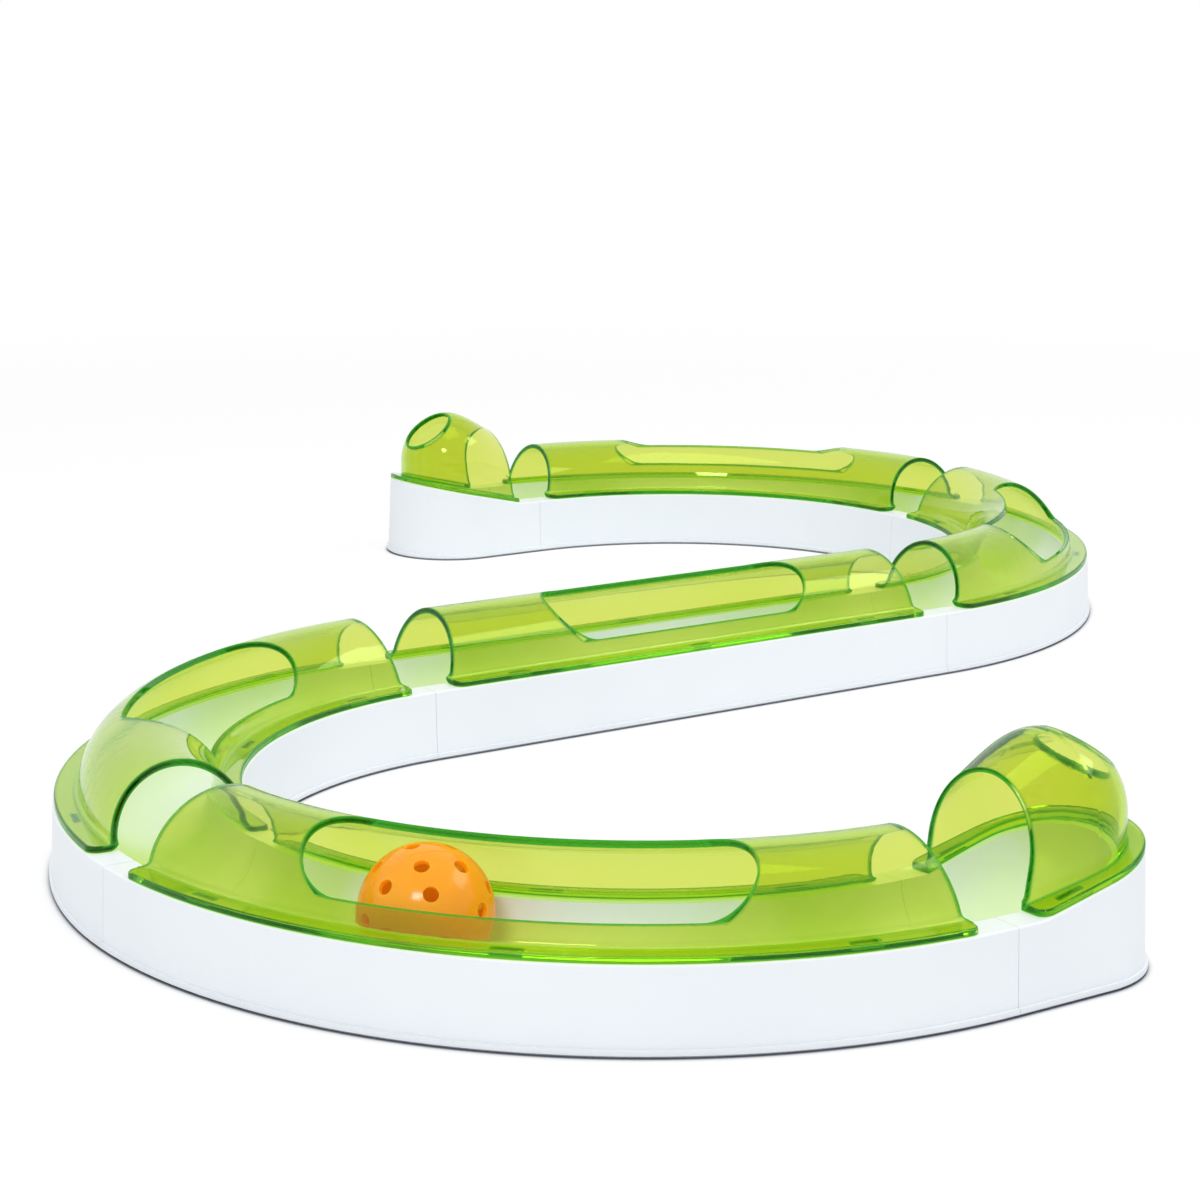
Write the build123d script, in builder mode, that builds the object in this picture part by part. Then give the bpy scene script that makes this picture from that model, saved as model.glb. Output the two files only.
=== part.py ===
"""Cat ball track toy: an S-shaped run of seven track modules with see-through covers and one ball.

Two quarter bends, a straight, two more quarter bends and a round end at each tip make one channel.
Each module is a white hollow base with a trough, and a translucent cover that snaps on its rim.
The trough of a round end climbs to its tip, so that the ball rolls back, under a high domed cover.
The part stands on its bottom edges at Z = 0. The origin is under the middle of the straight,
+X runs along the straight and +Z is up. Lengths are in millimetres and angles in degrees.
"""
import os
from math import asin, cos, pi, radians, sin, sqrt, tan

from build123d import *

# Layout of the run
track_radius = 163.0          # centre line of a bend
bend_angle = 90.0             # one bend module
half_turn_angle = 180.0
straight_length = 256.0       # seam to seam
end_length = 36.8             # seam to the centre of the round end
ramp_start = 10.5             # seam to where an end starts to climb
ramp_angle = 13.0
seam_gap = 0.16               # hairline between two modules

# Ball
ball_diameter = 40.0
ball_wall = 1.6
ball_groove = 0.5             # bevel along the joint of the halves
ball_lip_height = 2.0         # inner lip of the front half
ball_lip_wall = 0.9
ball_lip_clearance = 0.1
ball_hole_diameter = 4.6
ball_hole_rings = ((47.0, 5), (74.0, 10))   # angle from the pole of a half, and count
ball_rest_angle = 214.2       # where it lies on the first bends' circle
ball_pole_shares = (-0.26, -0.93, -0.24)    # direction of the front half's pole
ball_hole_shares = (-0.31, -0.41, 0.85)     # direction of one hole of its wide ring
bead_diameter = 8.0
bead_clearance = 0.3
rest_clearance = 0.3          # ball to trough floor

# Channel and base
tunnel_play = 1.1             # channel radius over the ball's
trough_height = 6.9           # channel floor over the ground
tunnel_lift = 1.5             # channel axis over the rim
rim_margin = 0.5              # white rim beside the cover's flange
rim_round = 0.7
wall = 2.0                    # every wall of the base
wall_draft = 1.0              # lean of the outer wall, per side
lip_proud = 0.9               # foot lip
lip_height = 2.6
foot_gap = 0.9                # lip over the ground
foot_inset = 0.5              # standing edge behind the outer wall's face
rib_thickness = 1.6
rib_shares = (0.33, 0.67)     # cross ribs, along a module

# Covers
cover_wall = 2.2
flange_width = 7.6
flange_thickness = 2.0
flange_round = 0.8
flange_corner = 4.0
flange_root = 1.4             # fillet from flange to arch
seat_gap = 0.2                # flange over rim
flange_inset = 10.5           # flange end to seam
arch_inset = 1.6              # foot of the arch end behind flange end
arch_lean_angle = 12.5        # the arch end leans back over its module
arch_end_round = 3.0          # concave round from flange to arch end
window_length = 126.0         # along the centre line
window_past_ridge = 8.0       # across the far side of the ridge
window_side_reach = 21.1      # from the ridge, on the window's own side

# Snap tabs under the flanges and their slots in the rim
tab_length = 9.0
tab_thickness = 1.5
tab_depth = 5.0
tab_clearance = 0.45
tab_shares = (0.16, 0.5, 0.84)   # along a module
end_tab_share = 0.66             # along the straight stretch of an end

# Dome over each end
dome_radius = 25.3
dome_axis_height = 47.5
mouth_radius = 22.8
mouth_axis_height = 37.6
mouth_flange_inset = 10.5     # flange end to seam
mouth_inset = 0.5             # arch edge behind flange end
mouth_end_round = 3.0         # concave round from flange to arch edge
mouth_lean_angle = 8.0        # the arch edge leans towards the tip
dome_hole_diameter = 25.8
dome_hole_angle = 52.5        # over the horizon, towards the tip
# Sections from the mouth to the round end: how far along, and how much of the change is made there
dome_shares = ((0.0, 0.0), (0.3, 0.35), (0.6, 0.71), (0.85, 0.94), (1.0, 1.0))

# Hooks between modules: each end has a tongue on its left and a slot on its right
tongue_width = 9.0
tongue_thickness = 2.4
tongue_length = 8.0
tongue_height = 4.8           # underside over the ground
tongue_offset = 20.0          # from the centre line
tongue_clearance = 0.4
barb_depth = 1.0
barb_length = 2.0

overrun = 5.0                 # how far a cut runs past what it cuts

# Derived sizes
ball_radius = ball_diameter / 2
ball_inner_radius = ball_radius - ball_wall
lip_outer_radius = sqrt(ball_inner_radius**2 - ball_lip_height**2) - ball_lip_clearance
lip_inner_radius = lip_outer_radius - ball_lip_wall
bead_radius = bead_diameter / 2
tunnel_radius = ball_radius + tunnel_play
tunnel_height = trough_height + tunnel_radius
trough_half = sqrt(tunnel_radius**2 - tunnel_lift**2)
rim_height = tunnel_height - tunnel_lift
under_rim = rim_height - wall
under_radius = tunnel_radius + wall
under_half = sqrt(under_radius**2 - (tunnel_height - under_rim) ** 2)
cover_radius = tunnel_radius + cover_wall
flange_half = cover_radius + flange_width
rim_half = flange_half + rim_margin
wall_half = rim_half + wall_draft
foot_half = wall_half + lip_proud
stand_half = wall_half - foot_inset
cavity_half = rim_half - wall
seat_height = rim_height + seat_gap
flange_top = seat_height + flange_thickness
ridge_height = tunnel_height + cover_radius
dome_top = dome_axis_height + dome_radius
tab_offset = (under_half + cavity_half) / 2
slot_length = tab_length + 2 * tab_clearance
slot_width = tab_thickness + 2 * tab_clearance
slot_cut = 2 * wall + overrun
window_mid_radius = tunnel_radius + cover_wall / 2
window_near = asin(window_side_reach / window_mid_radius)
window_far = -asin(window_past_ridge / window_mid_radius)
window_middle = (window_near + window_far) / 2
window_round = cover_radius * sin((window_near - window_far) / 2)
window_offset = window_mid_radius * sin(window_middle)
ball_height = trough_height + rest_clearance + ball_radius
seam_inset = seam_gap / 2
half_straight = straight_length / 2
end_axis = Axis((end_length, 0, 0), (0, 0, 1))
ramp_slope = tan(radians(ramp_angle))
end_rise = (end_length - ramp_start) * ramp_slope
end_tabs = (
    (end_tab_share * end_length, -tab_offset, 0), (end_tab_share * end_length, tab_offset, 0),
    (end_length + tab_offset, 0, 90),
)
tip_height = rim_height + end_rise + foot_half * ramp_slope + overrun


def turn(length, radius=track_radius):
    """Degrees that a length takes along a circle, the centre line unless another is given."""
    return length / radius * half_turn_angle / pi


def radial_plane(angle):
    """Upright plane through a bend's axis: local x runs outwards, local y up."""
    a = radians(angle)
    return Plane(origin=(0, 0, 0), x_dir=(cos(a), sin(a), 0), z_dir=(sin(a), -cos(a), 0))


def cross_plane(x):
    """Upright plane across a straight stretch: local x runs to the left, local y up."""
    return Plane(origin=(x, 0, 0), x_dir=(0, 1, 0), z_dir=(1, 0, 0))


def side_plane(point, angle):
    """Upright plane along the track: local x runs in the direction of angle, local y up."""
    a = radians(angle)
    return Plane(origin=point, x_dir=(cos(a), sin(a), 0), z_dir=(sin(a), -cos(a), 0))


def bend_point(radius, angle, height=0.0):
    a = radians(angle)
    return (radius * cos(a), radius * sin(a), height)


# Sections across the track, drawn about the distance n0


def base_block(n0):
    """Outer outline of a base with its trough, filled underneath."""
    with BuildSketch() as block:
        with BuildLine():
            Polyline(
                (n0 - trough_half, rim_height), (n0 - rim_half, rim_height), (n0 - wall_half, lip_height),
                (n0 - foot_half, lip_height), (n0 - foot_half, foot_gap), (n0 - stand_half, foot_gap),
                (n0 - stand_half, 0), (n0 + stand_half, 0), (n0 + stand_half, foot_gap),
                (n0 + foot_half, foot_gap), (n0 + foot_half, lip_height), (n0 + wall_half, lip_height),
                (n0 + rim_half, rim_height), (n0 + trough_half, rim_height),
            )
            ThreePointArc((n0 + trough_half, rim_height), (n0, trough_height), (n0 - trough_half, rim_height))
        make_face()
        rim_corners = block.vertices().filter_by(lambda v: v.Y > under_rim and abs(v.X - n0) > flange_half)
        fillet(rim_corners, rim_round)
    return block.sketch


def base_section(n0):
    """The block hollowed from below to one wall thickness."""
    with BuildSketch() as cavity:
        with BuildLine():
            Polyline(
                (n0 - under_half, under_rim), (n0 - cavity_half, under_rim), (n0 - wall_half + wall, 0),
                (n0 - wall_half + wall, -overrun), (n0 + wall_half - wall, -overrun),
                (n0 + wall_half - wall, 0), (n0 + cavity_half, under_rim), (n0 + under_half, under_rim),
            )
            ThreePointArc(
                (n0 + under_half, under_rim), (n0, trough_height - wall), (n0 - under_half, under_rim),
            )
        make_face()
    with BuildSketch() as section:
        add(base_block(n0))
        add(cavity.sketch, mode=Mode.SUBTRACT)
    return section.sketch


def right_half(whole):
    """The half of a section on the positive side of the centre line."""
    with BuildSketch() as half:
        add(whole)
        Rectangle(foot_half, dome_top, align=(Align.MIN, Align.MIN), mode=Mode.INTERSECT)
    return half.sketch


def arch_face(n0, radius, axis_height, foot_height):
    """Upright sides from the foot to the axis, and a half circle on them."""
    with BuildSketch() as arch:
        with BuildLine():
            Polyline(
                (n0 - radius, axis_height), (n0 - radius, foot_height), (n0 + radius, foot_height),
                (n0 + radius, axis_height),
            )
            ThreePointArc((n0 + radius, axis_height), (n0, axis_height + radius), (n0 - radius, axis_height))
        make_face()
    return arch.sketch


def hat_face(n0, radius, brim_height, root):
    """Round about the channel's axis on a deep brim, with a fillet between them."""
    with BuildSketch() as hat:
        with Locations(Location((n0, tunnel_height, 0), (0, 0, -90))):
            Circle(radius)
        with Locations((n0, brim_height)):
            Rectangle(2 * radius + 4 * root, tunnel_radius, align=(Align.CENTER, Align.MAX))
        fillet(hat.vertices().filter_by(lambda v: abs(v.X - n0) < radius + root), root)
    return hat.sketch


def arch_section(n0):
    """Outer outline of a cover from its seat up."""
    with BuildSketch() as arch:
        add(hat_face(n0, cover_radius, flange_top, flange_root))
        with Locations((n0, seat_height)):
            Rectangle(2 * flange_half, ridge_height, align=(Align.CENTER, Align.MIN), mode=Mode.INTERSECT)
    return arch.sketch


def bore_section(n0):
    """Space under a cover: the channel's round, flared at the foot along with the outside."""
    return hat_face(n0, tunnel_radius, seat_height, flange_root + flange_thickness)


def window_face(n0, side):
    """Wedge about the channel's axis, square to the cover's wall; side is 1 or -1 along local x."""
    inner = tunnel_radius / 2
    outer = cover_radius + cover_wall

    def at(radius, angle):
        return (n0 + side * radius * sin(angle), tunnel_height + radius * cos(angle))

    with BuildSketch() as wedge:
        with BuildLine():
            Line(at(inner, window_near), at(outer, window_near))
            ThreePointArc(at(outer, window_near), at(outer, window_middle), at(outer, window_far))
            Line(at(outer, window_far), at(inner, window_far))
            ThreePointArc(at(inner, window_far), at(inner, window_middle), at(inner, window_near))
        make_face()
    return wedge.sketch


def window_plane(point, angle, side):
    """Plane on the channel's axis that faces out of a window; angle is the way of local x there."""
    a = radians(angle)
    lean = side * window_middle
    out = (sin(lean) * cos(a), sin(lean) * sin(a), cos(lean))
    return Plane(origin=point, x_dir=(-sin(a), cos(a), 0), z_dir=out)


def window_corners(plane, way):
    """What a round end takes off the wedge of a window; way is 1 or -1 along the plane's local x."""
    reach = cover_radius + 2 * cover_wall
    near = Align.MIN if way > 0 else Align.MAX
    with BuildPart() as corners:
        with BuildSketch(plane):
            Rectangle(window_round + 3 * overrun, 2 * reach, align=(near, Align.CENTER))
            Circle(window_round, mode=Mode.SUBTRACT)
        extrude(amount=reach)
    return corners.part


def bend_window(side):
    """Space of a bend cover's window: square to the wall, with round ends."""
    end_turn = turn(window_round, track_radius + side * window_offset)
    spare = turn(window_round + overrun)
    first = (bend_angle - turn(window_length)) / 2 + end_turn
    last = bend_angle - first
    with BuildPart() as window:
        with BuildSketch(radial_plane(first - spare)):
            add(window_face(track_radius, side))
        revolve(axis=Axis.Z, revolution_arc=last - first + 2 * spare)
        for angle, way in ((first, -1), (last, 1)):
            plane = window_plane(bend_point(track_radius, angle, tunnel_height), angle, side)
            add(window_corners(plane, way), mode=Mode.SUBTRACT)
    return window.part


def straight_window(side):
    """Space of the straight cover's window, shaped as a bend's."""
    reach = window_length / 2 - window_round
    spare = window_round + overrun
    with BuildPart() as window:
        with BuildSketch(cross_plane(-reach - spare)):
            add(window_face(0, side))
        extrude(amount=2 * (reach + spare))
        for way in (-1, 1):
            plane = window_plane((way * reach, 0, tunnel_height), 90, side)
            add(window_corners(plane, -way), mode=Mode.SUBTRACT)
    return window.part


def end_trim(plane, inset, lean, top, end_round):
    """Space beyond an arch's end, over its flange; the plane's local x points out of the cover."""
    reach = top + overrun
    back = (reach - flange_top) * tan(radians(lean))
    with BuildPart() as trim:
        with BuildSketch(plane) as outline:
            with BuildLine():
                Polyline(
                    (overrun, flange_top), (-inset, flange_top), (-inset - back, reach), (overrun, reach),
                    close=True,
                )
            make_face()
            fillet(outline.vertices().group_by(Axis.Y)[0].sort_by(Axis.X)[0], end_round)
        extrude(amount=foot_half, both=True)
    return trim.part


def ramp_plane(x, y, height):
    """Plane along the climb of an end, over a point of the plan, at a height for the ramp's start."""
    a = radians(ramp_angle)
    rise = (x - ramp_start) * ramp_slope
    return Plane(origin=(x, y, height + rise), x_dir=(cos(a), 0, sin(a)), z_dir=(-sin(a), 0, cos(a)))


def over_ramp(height):
    """Space over an end: level from the seam to the ramp's start, then along the climb."""
    far = end_length + foot_half + overrun
    with BuildPart() as space:
        with BuildSketch(side_plane((0, 0, 0), 0)):
            with BuildLine():
                Polyline(
                    (-overrun, height), (ramp_start, height), (far, height + (far - ramp_start) * ramp_slope),
                    (far, dome_top), (-overrun, dome_top), close=True,
                )
            make_face()
        extrude(amount=foot_half + overrun, both=True)
    return space.part


def ramp_channel(radius):
    """Channel of an end: level to the ramp's start, then along the climb to a round end open upwards."""
    kink = (ramp_start, 0, tunnel_height)
    last = (end_length, 0, tunnel_height + end_rise)
    climb = Plane(origin=kink, x_dir=(0, 1, 0), z_dir=ramp_plane(0, 0, 0).x_dir)
    with BuildPart() as channel:
        with BuildSketch(cross_plane(-overrun)):
            with Locations((0, tunnel_height)):
                Circle(radius)
        extrude(amount=ramp_start + overrun)
        with BuildSketch(climb):
            Circle(radius)
        extrude(amount=(end_length - ramp_start) / cos(radians(ramp_angle)))
        with BuildSketch(ramp_plane(end_length, 0, tunnel_height)):
            Circle(radius)
        extrude(amount=radius)
        with Locations(kink, last):
            Sphere(radius)
    return channel.part


def end_block(section):
    """A section drawn along an end and round its tip."""
    with BuildPart() as block:
        with BuildSketch(cross_plane(seam_inset)):
            add(section)
        extrude(amount=end_length - seam_inset)
        with BuildSketch(side_plane((end_length, 0, 0), -90)):
            add(right_half(section))
        revolve(axis=end_axis, revolution_arc=half_turn_angle)
    return block.part


def tall_section(inset, bottom):
    """The outer walls of a base carried up past the tip of an end, drawn in by inset."""
    lean = wall_draft / (rim_height - lip_height)
    top_half = wall_half - inset - (tip_height - lip_height) * lean
    bottom_half = wall_half - inset
    with BuildSketch() as tall:
        with BuildLine():
            Polyline((-top_half, tip_height), (-bottom_half, lip_height), (-bottom_half, bottom),
                     (bottom_half, bottom), (bottom_half, lip_height), (top_half, tip_height), close=True)
        make_face()
    return tall.sketch


def foot_section():
    """The foot of a base under its lip's top."""
    with BuildSketch() as foot:
        add(base_block(0))
        Rectangle(2 * foot_half, lip_height, align=(Align.CENTER, Align.MIN), mode=Mode.INTERSECT)
    return foot.sketch


def hook_tongue():
    """Tongue along +Y from an end face at the origin, with a barb under its tip."""
    barb_start = seam_gap + wall + tongue_clearance
    with BuildPart() as tongue:
        with Locations((0, -wall, tongue_height)):
            Box(tongue_width, wall + tongue_length, tongue_thickness,
                align=(Align.CENTER, Align.MIN, Align.MIN))
        with Locations((0, barb_start, tongue_height)):
            Box(tongue_width, barb_length, barb_depth, align=(Align.CENTER, Align.MIN, Align.MAX))
    return tongue.part


def hook_slot():
    """Hole for a neighbour's tongue through an end wall at the origin, along Y."""
    with BuildPart() as slot:
        with Locations((0, 0, tongue_height - tongue_clearance)):
            Box(tongue_width + 2 * tongue_clearance, 2 * (wall + overrun),
                tongue_thickness + 2 * tongue_clearance, align=(Align.CENTER, Align.CENTER, Align.MIN))
    return slot.part


# Bases


def bend_base():
    """Quarter bend about the Z axis, from the +X axis round to the +Y axis."""
    section = base_section(track_radius)
    block = base_block(track_radius)
    first = turn(seam_inset)
    last = bend_angle - first
    # Where each end's hook leaves it: the distance of the tongue, of the slot, and the way out
    hooks = (
        (first, track_radius + tongue_offset, track_radius - tongue_offset, 180),
        (last, track_radius - tongue_offset, track_radius + tongue_offset, 0),
    )
    webs = [(first, wall), (last - turn(wall), wall)]
    webs += [(share * bend_angle, rib_thickness) for share in rib_shares]
    with BuildPart() as base:
        with BuildSketch(radial_plane(first)):
            add(section)
        revolve(axis=Axis.Z, revolution_arc=last - first)
        for angle, thickness in webs:
            with BuildSketch(radial_plane(angle)):
                add(block)
            revolve(axis=Axis.Z, revolution_arc=turn(thickness))
        for share in tab_shares:
            for side in (-1, 1):
                point = bend_point(track_radius + side * tab_offset, share * bend_angle, rim_height)
                with Locations(Location(point, (0, 0, share * bend_angle))):
                    Box(slot_width, slot_length, slot_cut, mode=Mode.SUBTRACT)
        for angle, tongue_radius, slot_radius, out in hooks:
            slot_place = Location(bend_point(slot_radius, angle), (0, 0, angle + out))
            tongue_place = Location(bend_point(tongue_radius, angle), (0, 0, angle + out))
            add(slot_place * hook_slot(), mode=Mode.SUBTRACT)
            add(tongue_place * hook_tongue())
    return base.part


def straight_base():
    """Straight stretch along X, centred on the origin."""
    section = base_section(0)
    block = base_block(0)
    first = seam_inset - half_straight
    last = half_straight - seam_inset
    webs = [(first, wall), (last - wall, wall)]
    webs += [(share * straight_length - half_straight, rib_thickness) for share in rib_shares]
    with BuildPart() as base:
        with BuildSketch(cross_plane(first)):
            add(section)
        extrude(amount=last - first)
        for x, thickness in webs:
            with BuildSketch(cross_plane(x)):
                add(block)
            extrude(amount=thickness)
        slots = [(share * straight_length - half_straight, side * tab_offset, rim_height)
                 for share in tab_shares for side in (-1, 1)]
        with Locations(*slots):
            Box(slot_length, slot_width, slot_cut, mode=Mode.SUBTRACT)
        for x, left, out in ((last, 1, -90), (first, -1, 90)):
            add(Location((x, -left * tongue_offset, 0), (0, 0, out)) * hook_slot(), mode=Mode.SUBTRACT)
            add(Location((x, left * tongue_offset, 0), (0, 0, out)) * hook_tongue())
    return base.part


def end_base():
    """Round end from the seam at the origin along +X; the trough climbs and ends in a bowl."""
    with BuildPart() as cavity:
        add(end_block(tall_section(wall, -overrun)))
        add(over_ramp(under_rim), mode=Mode.SUBTRACT)
        add(ramp_channel(under_radius), mode=Mode.SUBTRACT)
    with BuildPart() as base:
        add(end_block(tall_section(0, foot_gap)))
        add(over_ramp(rim_height), mode=Mode.SUBTRACT)
        outer_rim = base.edges().filter_by(lambda e: e.center().Z > under_rim and e.length > wall)
        fillet(outer_rim.filter_by(lambda e: e.center().X > seam_gap), rim_round)
        add(end_block(foot_section()))
        add(ramp_channel(tunnel_radius), mode=Mode.SUBTRACT)
        add(cavity.part, mode=Mode.SUBTRACT)
        with BuildSketch(cross_plane(seam_inset)):
            add(base_block(0))
        extrude(amount=wall)
        for x, y, angle in end_tabs:
            with Locations(ramp_plane(x, y, rim_height).location * Location((0, 0, 0), (0, 0, angle))):
                Box(slot_length, slot_width, slot_cut, mode=Mode.SUBTRACT)
        add(Location((seam_inset, tongue_offset, 0), (0, 0, 90)) * hook_slot(), mode=Mode.SUBTRACT)
        add(Location((seam_inset, -tongue_offset, 0), (0, 0, 90)) * hook_tongue())
    return base.part


# Covers


def bend_cover(window_side):
    """Cover of a bend; its window is on the outer side for 1 and on the inner side for -1."""
    first = turn(flange_inset)
    last = bend_angle - first
    spare = turn(overrun)
    ends = [
        side_plane(bend_point(track_radius, angle), angle + out) for angle, out in ((first, -90), (last, 90))
    ]
    trims = [end_trim(plane, arch_inset, arch_lean_angle, ridge_height, arch_end_round) for plane in ends]
    with BuildPart() as cover:
        with BuildSketch(Plane.XY.offset(seat_height)) as flange:
            with BuildLine():
                outer = CenterArc((0, 0), track_radius + flange_half, first, last - first)
                inner = CenterArc((0, 0), track_radius - flange_half, first, last - first)
                Line(outer @ 0, inner @ 0)
                Line(outer @ 1, inner @ 1)
            make_face()
            fillet(flange.vertices(), flange_corner)
        extrude(amount=flange_thickness)
        fillet(cover.faces().sort_by(Axis.Z)[-1].edges(), flange_round)
        with BuildSketch(radial_plane(first)):
            add(arch_section(track_radius))
        revolve(axis=Axis.Z, revolution_arc=last - first)
        for trim in trims:
            add(trim, mode=Mode.SUBTRACT)
        with BuildSketch(radial_plane(first - spare)):
            add(bore_section(track_radius))
        revolve(axis=Axis.Z, revolution_arc=last - first + 2 * spare, mode=Mode.SUBTRACT)
        add(bend_window(window_side), mode=Mode.SUBTRACT)
        for share in tab_shares:
            for side in (-1, 1):
                point = bend_point(track_radius + side * tab_offset, share * bend_angle, seat_height)
                with Locations(Location(point, (0, 0, share * bend_angle))):
                    Box(tab_thickness, tab_length, tab_depth, align=(Align.CENTER, Align.CENTER, Align.MAX))
    return cover.part


def straight_cover():
    """Cover of the straight, with its window on the right of the run."""
    first = flange_inset - half_straight
    last = half_straight - flange_inset
    trims = [
        end_trim(side_plane((first, 0, 0), 180), arch_inset, arch_lean_angle, ridge_height, arch_end_round),
        end_trim(side_plane((last, 0, 0), 0), arch_inset, arch_lean_angle, ridge_height, arch_end_round),
    ]
    with BuildPart() as cover:
        with BuildSketch(Plane.XY.offset(seat_height)):
            RectangleRounded(last - first, 2 * flange_half, flange_corner)
        extrude(amount=flange_thickness)
        fillet(cover.faces().sort_by(Axis.Z)[-1].edges(), flange_round)
        with BuildSketch(cross_plane(first)):
            add(arch_section(0))
        extrude(amount=last - first)
        for trim in trims:
            add(trim, mode=Mode.SUBTRACT)
        with BuildSketch(cross_plane(first - overrun)):
            add(bore_section(0))
        extrude(amount=last - first + 2 * overrun, mode=Mode.SUBTRACT)
        add(straight_window(-1), mode=Mode.SUBTRACT)
        tabs = [(share * straight_length - half_straight, side * tab_offset, seat_height)
                for share in tab_shares for side in (-1, 1)]
        with Locations(*tabs):
            Box(tab_length, tab_thickness, tab_depth, align=(Align.CENTER, Align.CENTER, Align.MAX))
    return cover.part


def dome_solid(inset, foot_height):
    """Tall hood from the mouth to the round end, drawn in by inset."""
    start = mouth_flange_inset - inset
    with BuildPart() as dome:
        for share, grown in dome_shares:
            radius = mouth_radius + (dome_radius - mouth_radius) * grown - inset
            height = mouth_axis_height + (dome_axis_height - mouth_axis_height) * grown
            with BuildSketch(cross_plane(start + (end_length - start) * share)):
                add(arch_face(0, radius, height, foot_height))
        loft()
        with BuildSketch(side_plane((end_length, 0, 0), -90)):
            add(right_half(arch_face(0, dome_radius - inset, dome_axis_height, foot_height)))
        revolve(axis=end_axis, revolution_arc=half_turn_angle)
    return dome.part


def end_cover():
    """Domed cover of a round end, open towards the seam, with a round hole in its upper tip."""
    trim = end_trim(
        side_plane((mouth_flange_inset, 0, 0), 180), mouth_inset, mouth_lean_angle, dome_top, mouth_end_round,
    )
    rise = radians(dome_hole_angle)
    hole_out = (cos(rise), 0, sin(rise))
    hole_plane = Plane(origin=(end_length, 0, dome_axis_height), x_dir=(0, 1, 0), z_dir=hole_out)
    upwards = ramp_plane(0, 0, 0).z_dir
    outer = dome_solid(0, under_rim)
    inner = dome_solid(cover_wall, under_rim - overrun)
    with BuildPart() as cover:
        with BuildSketch(Plane.XY) as flange:
            with BuildLine():
                Polyline((end_length, flange_half), (mouth_flange_inset, flange_half),
                         (mouth_flange_inset, -flange_half), (end_length, -flange_half))
                ThreePointArc((end_length, -flange_half), (end_length + flange_half, 0),
                              (end_length, flange_half))
            make_face()
            fillet(flange.vertices().group_by(Axis.X)[0], flange_corner)
        extrude(amount=tip_height)
        split(bisect_by=ramp_plane(0, 0, flange_top), keep=Keep.BOTTOM)
        fillet(max(cover.faces(), key=lambda f: f.center().dot(upwards)).edges(), flange_round)
        add(outer)
        add(trim, mode=Mode.SUBTRACT)
        add(inner, mode=Mode.SUBTRACT)
        split(bisect_by=ramp_plane(0, 0, seat_height), keep=Keep.TOP)
        with BuildSketch(hole_plane):
            Circle(dome_hole_diameter / 2)
        extrude(amount=dome_radius + overrun, mode=Mode.SUBTRACT)
        for x, y, angle in end_tabs:
            with Locations(ramp_plane(x, y, seat_height).location * Location((0, 0, 0), (0, 0, angle))):
                Box(tab_length, tab_thickness, tab_depth, align=(Align.CENTER, Align.CENTER, Align.MAX))
    return cover.part


# Ball and bead


def ball_half(with_lip):
    """Half shell with its pole on +Z and a ring of round holes; the front half has the inner lip."""
    with BuildPart() as half:
        with BuildSketch(Plane.XZ):
            Circle(ball_radius)
            Circle(ball_inner_radius, mode=Mode.SUBTRACT)
            Rectangle(ball_radius, ball_radius, align=(Align.MIN, Align.MIN), mode=Mode.INTERSECT)
            with Locations((ball_radius, 0)):
                Rectangle(ball_groove, ball_groove, rotation=45, mode=Mode.SUBTRACT)
        revolve(axis=Axis.Z)
        with Locations((0, 0, ball_inner_radius)):
            Cylinder(ball_hole_diameter / 2, 2 * (ball_wall + overrun), mode=Mode.SUBTRACT)
        for angle, count in ball_hole_rings:
            with PolarLocations(0, count):
                with Locations(Location((0, 0, 0), (0, angle, 0))):
                    Cylinder(ball_hole_diameter / 2, ball_radius + overrun,
                             align=(Align.CENTER, Align.CENTER, Align.MIN), mode=Mode.SUBTRACT)
        if with_lip:
            with BuildSketch(Plane.XZ):
                with Locations((lip_inner_radius, -ball_lip_height)):
                    Rectangle(ball_lip_wall, 2 * ball_lip_height, align=(Align.MIN, Align.MIN))
                with Locations((lip_inner_radius, 0)):
                    Rectangle(ball_lip_wall + ball_wall / 2, ball_lip_height, align=(Align.MIN, Align.MIN))
            revolve(axis=Axis.Z)
    return half.part


def bead():
    """Loose rattle bead that lies in the bottom of the ball."""
    with BuildPart() as rattle:
        Sphere(bead_radius)
    return rattle.part


# Assembly: each piece is built once and placed in every module that uses it

first_centre = (-half_straight, -track_radius)
second_centre = (half_straight, track_radius)
bend_places = {
    "front_bend": (first_centre, half_turn_angle, "outer"),
    "left_bend": (first_centre, half_turn_angle - bend_angle, "inner"),
    "right_bend": (second_centre, -bend_angle, "inner"),
    "back_bend": (second_centre, 0, "outer"),
}
end_places = {
    "front_end": ((-half_straight, -2 * track_radius), 0),
    "back_end": ((half_straight, 2 * track_radius), half_turn_angle),
}
ball_at = radians(ball_rest_angle)
ball_centre = (
    first_centre[0] + track_radius * cos(ball_at), first_centre[1] + track_radius * sin(ball_at), ball_height,
)
ball_pole = Vector(*ball_pole_shares).normalized()
ball_hole = Vector(*ball_hole_shares)
ball_side = ball_hole - ball_pole * ball_hole.dot(ball_pole)
bead_drop = lip_inner_radius - bead_clearance - bead_radius
pieces = {}

plain_bend = bend_base()
bend_covers = {"outer": bend_cover(1), "inner": bend_cover(-1)}
for name, (centre, angle, window_side) in bend_places.items():
    place = Location((*centre, 0), (0, 0, angle))
    pieces[f"{name}_base"] = place * plain_bend
    pieces[f"{name}_cover"] = place * bend_covers[window_side]

pieces["straight_base"] = straight_base()
pieces["straight_cover"] = straight_cover()

round_base = end_base()
round_cover = end_cover()
for name, (seam, angle) in end_places.items():
    place = Location((*seam, 0), (0, 0, angle))
    pieces[f"{name}_base"] = place * round_base
    pieces[f"{name}_cover"] = place * round_cover

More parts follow.
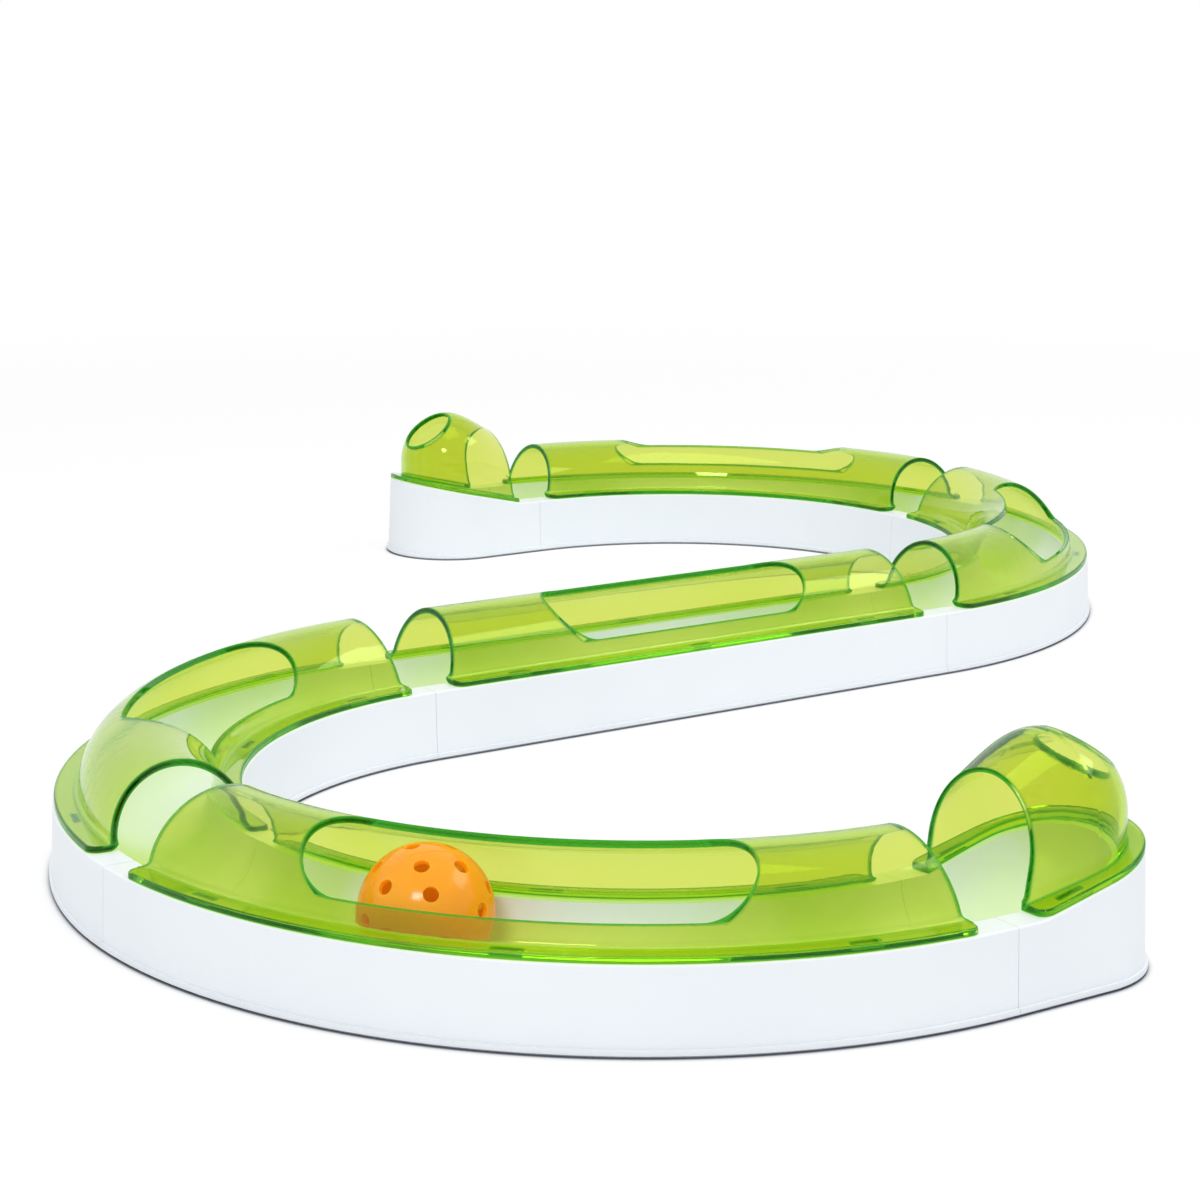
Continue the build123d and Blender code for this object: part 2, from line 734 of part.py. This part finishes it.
ball_front = Plane(origin=ball_centre, x_dir=ball_side, z_dir=ball_pole)
ball_back = Plane(origin=ball_centre, x_dir=ball_side, z_dir=-ball_pole)
pieces["ball_front_half"] = ball_front.location * ball_half(True)
pieces["ball_back_half"] = ball_back.location * ball_half(False)
pieces["rattle_bead"] = Location((ball_centre[0], ball_centre[1], ball_height - bead_drop)) * bead()

os.makedirs("parts", exist_ok=True)
for name, piece in pieces.items():
    piece.label = name
    export_step(piece, f"parts/{name}.step")
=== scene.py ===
"""Looks of the cat ball track toy: white moulded bases, clear green covers and an orange rattle ball."""
from math import cos, radians, sin

import bpy
from mathutils import Matrix, Vector


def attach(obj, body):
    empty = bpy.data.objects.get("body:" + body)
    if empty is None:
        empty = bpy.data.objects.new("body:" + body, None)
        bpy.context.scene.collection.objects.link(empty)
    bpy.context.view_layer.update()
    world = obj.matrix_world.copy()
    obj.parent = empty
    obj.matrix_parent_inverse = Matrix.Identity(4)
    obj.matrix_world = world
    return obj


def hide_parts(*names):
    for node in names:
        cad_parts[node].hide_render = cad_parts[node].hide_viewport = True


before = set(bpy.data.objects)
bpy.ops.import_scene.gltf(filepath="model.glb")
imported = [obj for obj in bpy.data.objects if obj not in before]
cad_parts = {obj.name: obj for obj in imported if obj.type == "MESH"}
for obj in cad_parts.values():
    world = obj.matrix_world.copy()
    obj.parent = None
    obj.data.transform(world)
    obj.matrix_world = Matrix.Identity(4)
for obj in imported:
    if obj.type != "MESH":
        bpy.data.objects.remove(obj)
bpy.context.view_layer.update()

# Camera, fitted to the photograph's perspective: metres, degrees and millimetres of lens
camera_place = Vector((-0.6410, -0.9055, 0.2816))
camera_heading = 33.94        # from +Y towards +X
camera_pitch = 12.21          # downwards
camera_roll = 0.25
camera_lens = 82.12
camera_sensor = 36.0

# The photograph shows the right bend's window on the outer side, as on the bend after it in the run. Its
# cover takes the shape of that bend's cover, turned about the centre that both bends share.
turned_cover = "right_bend_cover"
turned_pattern = "back_bend_cover"
straight_length = 0.256       # seam to seam, with its middle at the frame's centre
track_radius = 0.163          # centre line of a bend
turn_centre = Vector((straight_length / 2, track_radius, 0.0))
turn_angle = -90.0

# Floor and light, in metres
floor_size = 60.0
floor_colour = (0.93, 0.93, 0.935, 1.0)
floor_roughness = 0.9
floor_plain_radius = 0.75     # where the floor starts to turn into the white backdrop
floor_white_radius = 1.5
floor_white_share = 0.75      # of that white in the floor near the object, away from its foot
foot_shade_reach = 0.006      # how far the shade along the foot spreads
foot_dark = 0.45              # openness at which the shade is full
foot_light = 0.80             # openness at which it ends
# Colour of the painted shade along the foot
painted_foot_shade = (0.200, 0.220, 0.260, 1.0)
white = (1.0, 1.0, 1.0, 1.0)
world_strength = 0.60
light_bounces = 24            # enough for light that crosses several covers

# Each softbox: place, aim, width, height, power in watts, and whether it shows as a highlight
softboxes = {
    "key_softbox": (Vector((-1.5, -1.3, 1.5)), Vector((-0.1, -0.1, 0.0)), 0.55, 0.40, 12.0, True),
    "fill_softbox": (Vector((1.4, -0.9, 1.7)), Vector((0.0, -0.1, 0.0)), 1.2, 0.8, 9.0, True),
    "top_softbox": (Vector((0.0, 0.0, 2.2)), Vector((0.0, 0.0, 0.0)), 1.2, 1.2, 19.0, False),
}

# Shared by the finishes: their noise's detail, and the stretch of it that turns one colour into the other
patch_detail = 3.0
sheen_detail = 4.0
grain_detail = 2.0
patch_start = 0.35
patch_end = 0.65

# Finishes: linear colours, depths in metres, patches and grain in waves per metre, and sheen as the least and
# the greatest roughness
white_low = (0.815, 0.857, 0.895, 1.0)
white_high = (0.840, 0.880, 0.915, 1.0)
white_patches = 14.0
white_sheen = (0.34, 0.46)
white_sheen_patches = 60.0
white_grain = 1500.0
white_grain_strength = 0.12
white_grain_depth = 0.0002
white_refraction = 1.46

orange_low = (0.930, 0.440, 0.012, 1.0)
orange_high = (0.960, 0.490, 0.018, 1.0)
orange_patches = 60.0
orange_sheen = (0.11, 0.19)
orange_sheen_patches = 150.0
orange_grain = 900.0
orange_grain_strength = 0.06
orange_grain_depth = 0.0002
orange_refraction = 1.49
orange_soft_share = 0.7       # of the light, scattered under the surface
orange_soft_reach = 0.004
orange_soft_shares = (1.0, 0.5, 0.12)       # of that reach, for red, green and blue
orange_glow = (1.000, 0.600, 0.050, 1.0)
orange_glow_share = 0.35      # of the shell's light that comes from behind
# Colour of a painted glow that the ball's shell gives off by itself
orange_painted_glow = (1.000, 0.400, 0.010, 1.0)
orange_painted_glow_strength = 0.09           # strength of a painted glow over the whole shell, standing in for light that it spreads through itself

bead_low = (0.30, 0.30, 0.31, 1.0)
bead_high = (0.36, 0.36, 0.37, 1.0)
bead_patches = 200.0
bead_sheen = (0.3, 0.45)
bead_sheen_patches = 400.0

green_low = (0.825, 0.800, 0.300, 1.0)
green_high = (0.845, 0.820, 0.330, 1.0)
green_patches = 20.0
green_sheen = (0.015, 0.05)
green_sheen_patches = 45.0
green_grain = 60.0
green_grain_strength = 0.10
green_grain_depth = 0.0004
green_refraction = 1.49
green_kept = (0.7515, 0.9358, 0.0, 1.0)     # colour that light takes on its way through the wall
green_density = 363.0         # how fast it does, per metre
green_gloss = (0.70, 0.90, 0.45, 1.0)
green_passed = (0.800, 0.880, 0.420, 1.0)   # of the light that falls through each face of a cover
# Colour of the cut edges, used both as their deeper green and as their painted glow
edge_green_and_glow = (0.055, 0.400, 0.038, 1.0)
edge_width = 0.0016           # how far the deeper green of a cut edge reaches from its corner
edge_samples = 6
edge_start = 0.995            # agreement of the rounded and the flat normal where an edge starts
edge_full = 0.90              # and where it is full
edge_strength = 0.9
painted_edge_glow_share = 0.80             # share of the edges' colour that is a painted glow, standing in for light that the wall carries to them


def new_material(name):
    made = bpy.data.materials.new(name)
    made.use_nodes = True
    return made, made.node_tree, made.node_tree.nodes["Principled BSDF"]


def show(tree, shader):
    tree.links.new(shader, tree.nodes["Material Output"].inputs["Surface"])


def coloured(tree, kind, colour):
    made = tree.nodes.new(kind)
    made.inputs["Color"].default_value = colour
    return made


def mixed(tree, first, second):
    """A mix of two shaders; its Fac is the share of the second."""
    mix = tree.nodes.new("ShaderNodeMixShader")
    tree.links.new(first, mix.inputs[1])
    tree.links.new(second, mix.inputs[2])
    return mix


def combined(tree, operation, first, second):
    """One step of arithmetic on two values."""
    step = tree.nodes.new("ShaderNodeMath")
    step.operation = operation
    tree.links.new(first, step.inputs[0])
    tree.links.new(second, step.inputs[1])
    return step.outputs["Value"]


def stretched(tree, value, start, end, low=0.0, high=1.0):
    """The value's stretch from start to end, brought to the one from low to high."""
    stretch = tree.nodes.new("ShaderNodeMapRange")
    stretch.inputs["From Min"].default_value = start
    stretch.inputs["From Max"].default_value = end
    stretch.inputs["To Min"].default_value = low
    stretch.inputs["To Max"].default_value = high
    tree.links.new(value, stretch.inputs["Value"])
    return stretch


def ramped(tree, share, low, high, start=0.0, end=1.0):
    """The colour low up to the start and the colour high from the end on."""
    ramp = tree.nodes.new("ShaderNodeValToRGB")
    ramp.color_ramp.elements[0].position = start
    ramp.color_ramp.elements[0].color = low
    ramp.color_ramp.elements[1].position = end
    ramp.color_ramp.elements[1].color = high
    tree.links.new(share, ramp.inputs["Fac"])
    return ramp.outputs["Color"]


def noise(tree, scale, detail):
    """Noise in the piece's own coordinates; scale is waves per metre."""
    place = tree.nodes.new("ShaderNodeTexCoord")
    texture = tree.nodes.new("ShaderNodeTexNoise")
    texture.inputs["Scale"].default_value = scale
    texture.inputs["Detail"].default_value = detail
    tree.links.new(place.outputs["Object"], texture.inputs["Vector"])
    return texture.outputs["Fac"]


def vary_colour(tree, shader, scale, low, high):
    patches = noise(tree, scale, patch_detail)
    tree.links.new(ramped(tree, patches, low, high, patch_start, patch_end), shader.inputs["Base Color"])


def vary_roughness(tree, shader, scale, sheen):
    patches = stretched(tree, noise(tree, scale, sheen_detail), 0.0, 1.0, *sheen)
    tree.links.new(patches.outputs["Result"], shader.inputs["Roughness"])


def add_bump(tree, shader, scale, strength, depth):
    bump = tree.nodes.new("ShaderNodeBump")
    bump.inputs["Strength"].default_value = strength
    bump.inputs["Distance"].default_value = depth
    tree.links.new(noise(tree, scale, grain_detail), bump.inputs["Height"])
    tree.links.new(bump.outputs["Normal"], shader.inputs["Normal"])


def along_edges(tree):
    """The edges' strength at sharp corners and 0 on open faces."""
    rounded = tree.nodes.new("ShaderNodeBevel")
    rounded.samples = edge_samples
    rounded.inputs["Radius"].default_value = edge_width
    face = tree.nodes.new("ShaderNodeNewGeometry")
    agreement = tree.nodes.new("ShaderNodeVectorMath")
    agreement.operation = "DOT_PRODUCT"
    tree.links.new(rounded.outputs["Normal"], agreement.inputs[0])
    tree.links.new(face.outputs["Normal"], agreement.inputs[1])
    share = stretched(tree, agreement.outputs["Value"], edge_start, edge_full, high=edge_strength)
    return share.outputs["Result"]


def any_ray(tree, kinds):
    """1 for the named kinds of ray and 0 for all others."""
    path = tree.nodes.new("ShaderNodeLightPath")
    most = path.outputs[kinds[0]]
    for other in kinds[1:]:
        most = combined(tree, "MAXIMUM", most, path.outputs[other])
    return most


def lighting_rays(tree):
    """1 for rays that carry light to a dull surface."""
    return any_ray(tree, ("Is Shadow Ray", "Is Diffuse Ray"))


def seen_directly(tree):
    """1 for what the camera sees, straight, in a reflection or through clear plastic."""
    return any_ray(tree, ("Is Camera Ray", "Is Glossy Ray", "Is Transmission Ray"))


def satin_white():
    """Opaque moulded plastic with a fine satin skin."""
    made, tree, shader = new_material("satin_white")
    vary_colour(tree, shader, white_patches, white_low, white_high)
    vary_roughness(tree, shader, white_sheen_patches, white_sheen)
    add_bump(tree, shader, white_grain, white_grain_strength, white_grain_depth)
    shader.inputs["IOR"].default_value = white_refraction
    return made


def clear_green():
    """Clear plastic whose colour deepens with the way that light takes through it."""
    made, tree, shader = new_material("clear_green_plastic")
    vary_colour(tree, shader, green_patches, green_low, green_high)
    vary_roughness(tree, shader, green_sheen_patches, green_sheen)
    add_bump(tree, shader, green_grain, green_grain_strength, green_grain_depth)
    shader.inputs["Transmission Weight"].default_value = 1.0
    shader.inputs["IOR"].default_value = green_refraction
    shader.inputs["Specular Tint"].default_value = green_gloss
    tint = coloured(tree, "ShaderNodeVolumeAbsorption", green_kept)
    tint.inputs["Density"].default_value = green_density
    tree.links.new(tint.outputs["Volume"], tree.nodes["Material Output"].inputs["Volume"])
    # Cut edges: a deeper green, part of which is a painted glow that stands in for light the wall feeds to
    # them
    body = coloured(tree, "ShaderNodeBsdfDiffuse", edge_green_and_glow)
    edge_glow_node = coloured(tree, "ShaderNodeEmission", edge_green_and_glow)
    edge = mixed(tree, body.outputs["BSDF"], edge_glow_node.outputs["Emission"])
    edge.inputs["Fac"].default_value = painted_edge_glow_share
    wall = mixed(tree, shader.outputs["BSDF"], edge.outputs["Shader"])
    tree.links.new(along_edges(tree), wall.inputs["Fac"])
    # Light on its way to the trough and the floor goes straight through
    passed = coloured(tree, "ShaderNodeBsdfTransparent", green_passed)
    lit = mixed(tree, wall.outputs["Shader"], passed.outputs["BSDF"])
    tree.links.new(lighting_rays(tree), lit.inputs["Fac"])
    show(tree, lit.outputs["Shader"])
    return made


def glossy_orange():
    """Thin orange plastic that lets a little light through from behind, with a faint painted glow all over.
    """
    made, tree, shader = new_material("glossy_orange")
    vary_colour(tree, shader, orange_patches, orange_low, orange_high)
    vary_roughness(tree, shader, orange_sheen_patches, orange_sheen)
    add_bump(tree, shader, orange_grain, orange_grain_strength, orange_grain_depth)
    shader.inputs["IOR"].default_value = orange_refraction
    shader.inputs["Subsurface Weight"].default_value = orange_soft_share
    shader.inputs["Subsurface Radius"].default_value = orange_soft_shares
    shader.inputs["Subsurface Scale"].default_value = orange_soft_reach
    # Painted glow: the shell gives off a faint orange light of its own
    shader.inputs["Emission Color"].default_value = orange_painted_glow
    shader.inputs["Emission Strength"].default_value = orange_painted_glow_strength
    glow = coloured(tree, "ShaderNodeBsdfTranslucent", orange_glow)
    shell = mixed(tree, shader.outputs["BSDF"], glow.outputs["BSDF"])
    shell.inputs["Fac"].default_value = orange_glow_share
    show(tree, shell.outputs["Shader"])
    return made


def bead_grey():
    """Plain grey plastic, seen only through the ball's holes."""
    made, tree, shader = new_material("bead_grey")
    vary_colour(tree, shader, bead_patches, bead_low, bead_high)
    vary_roughness(tree, shader, bead_sheen_patches, bead_sheen)
    return made


def floor_finish():
    """Pale floor that keeps its own shade, darkened by a painted shade along the foot, and turns into a white
    backdrop further out.
    """
    made, tree, shader = new_material("pale_floor")
    shader.inputs["Roughness"].default_value = floor_roughness
    shader.inputs["Specular IOR Level"].default_value = 0.0
    place = tree.nodes.new("ShaderNodeTexCoord")
    distance = tree.nodes.new("ShaderNodeVectorMath")
    distance.operation = "LENGTH"
    tree.links.new(place.outputs["Object"], distance.inputs[0])
    from_middle = distance.outputs["Value"]
    fade = stretched(tree, from_middle, floor_plain_radius, floor_white_radius, low=floor_white_share)
    fade.interpolation_type = "SMOOTHSTEP"
    foot = tree.nodes.new("ShaderNodeAmbientOcclusion")
    foot.inputs["Distance"].default_value = foot_shade_reach
    openness = stretched(tree, foot.outputs["AO"], foot_dark, foot_light).outputs["Result"]
    # Painted shade: the floor's colour darkens along the foot, where the object closes it in
    tree.links.new(ramped(tree, openness, painted_foot_shade, floor_colour), shader.inputs["Base Color"])
    open_share = combined(tree, "MULTIPLY", fade.outputs["Result"], openness)
    glow = coloured(tree, "ShaderNodeEmission", white)
    backdrop = mixed(tree, shader.outputs["BSDF"], glow.outputs["Emission"])
    tree.links.new(combined(tree, "MULTIPLY", open_share, seen_directly(tree)), backdrop.inputs["Fac"])
    show(tree, backdrop.outputs["Shader"])
    return made


def add_floor():
    half = floor_size / 2
    corners = [(-half, -half, 0), (half, -half, 0), (half, half, 0), (-half, half, 0)]
    mesh = bpy.data.meshes.new("floor")
    mesh.from_pydata(corners, [], [(0, 1, 2, 3)])
    floor = bpy.data.objects.new("floor", mesh)
    bpy.context.scene.collection.objects.link(floor)
    mesh.materials.append(floor_finish())


def add_world():
    """A white room that shows as plain white and lights the object a little less."""
    world = bpy.data.worlds.new("white_room")
    world.use_nodes = True
    bpy.context.scene.world = world
    tree = world.node_tree
    light = tree.nodes["Background"]
    light.inputs["Color"].default_value = white
    light.inputs["Strength"].default_value = world_strength
    shown = coloured(tree, "ShaderNodeBackground", white)
    room = mixed(tree, light.outputs["Background"], shown.outputs["Background"])
    tree.links.new(seen_directly(tree), room.inputs["Fac"])
    tree.links.new(room.outputs["Shader"], tree.nodes["World Output"].inputs["Surface"])


def add_softboxes():
    for name, (place, aim, width, height, power, mirrored) in softboxes.items():
        data = bpy.data.lights.new(name, "AREA")
        data.shape = "RECTANGLE"
        data.size = width
        data.size_y = height
        data.energy = power
        light = bpy.data.objects.new(name, data)
        light.location = place
        light.rotation_euler = (aim - place).to_track_quat("-Z", "Y").to_euler()
        light.visible_glossy = mirrored
        bpy.context.scene.collection.objects.link(light)


def add_camera():
    heading = radians(camera_heading)
    pitch = radians(camera_pitch)
    roll = radians(camera_roll)
    forward = Vector((sin(heading) * cos(pitch), cos(heading) * cos(pitch), -sin(pitch)))
    level = Vector((cos(heading), -sin(heading), 0.0))
    up = level.cross(forward)
    side = level * cos(roll) + up * sin(roll)
    top = up * cos(roll) - level * sin(roll)
    data = bpy.data.cameras.new("camera")
    data.lens = camera_lens
    data.sensor_width = camera_sensor
    camera = bpy.data.objects.new("camera", data)
    turned = Matrix((side, top, -forward)).transposed()
    camera.matrix_world = Matrix.Translation(camera_place) @ turned.to_4x4()
    bpy.context.scene.collection.objects.link(camera)
    bpy.context.scene.camera = camera


def turn_window_out():
    """A piece in place of the right bend's cover, with the window on its outer side."""
    made = bpy.data.objects.new(turned_cover + "_outer_window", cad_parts[turned_pattern].data.copy())
    turn = Matrix.Rotation(radians(turn_angle), 4, "Z")
    made.matrix_world = Matrix.Translation(turn_centre) @ turn @ Matrix.Translation(-turn_centre)
    bpy.context.scene.collection.objects.link(made)
    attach(made, turned_cover)
    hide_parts(turned_cover)


finishes = {
    "white_plastic": satin_white(),
    "green_clear": clear_green(),
    "orange_plastic": glossy_orange(),
    "bead_plastic": bead_grey(),
}
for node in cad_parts.values():
    for place in node.material_slots:
        place.material = finishes[place.material.name]
turn_window_out()

add_floor()
add_world()
add_softboxes()
add_camera()
bpy.context.scene.view_settings.view_transform = "Standard"
bpy.context.scene.cycles.max_bounces = light_bounces
bpy.context.scene.cycles.transmission_bounces = light_bounces
bpy.context.scene.cycles.glossy_bounces = light_bounces
